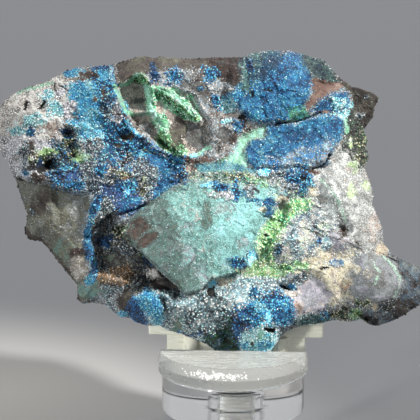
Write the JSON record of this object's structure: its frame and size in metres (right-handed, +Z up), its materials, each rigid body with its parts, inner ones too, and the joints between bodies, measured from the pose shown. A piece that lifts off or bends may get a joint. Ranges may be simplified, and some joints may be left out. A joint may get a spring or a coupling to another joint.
{
  "type": "cornetite specimen",
  "caption": "Broken ore specimen crusted with blue, teal and green copper minerals, leaning back in the jaws of a clear display stand.",
  "frame": {"origin": "centre of the flat underside of the stand's round foot", "axes": "+Z up, +X to the right along the stone's long face, -Y towards the viewer of its crusted face"},
  "size_m": [0.0719, 0.0346, 0.071],
  "materials": {
    "ore": "matte with sparkling crystal crusts",
    "clear_acrylic": "clear and polished",
    "milky_acrylic": "milky satin"
  },
  "bodies": {
    "root": {"cornetite_specimen": "ore", "foot": "clear_acrylic", "post": "clear_acrylic", "clear_block": "clear_acrylic", "front_jaw": "clear_acrylic", "rear_jaw": "milky_acrylic", "crossbar": "milky_acrylic"}
  },
  "joints": []
}
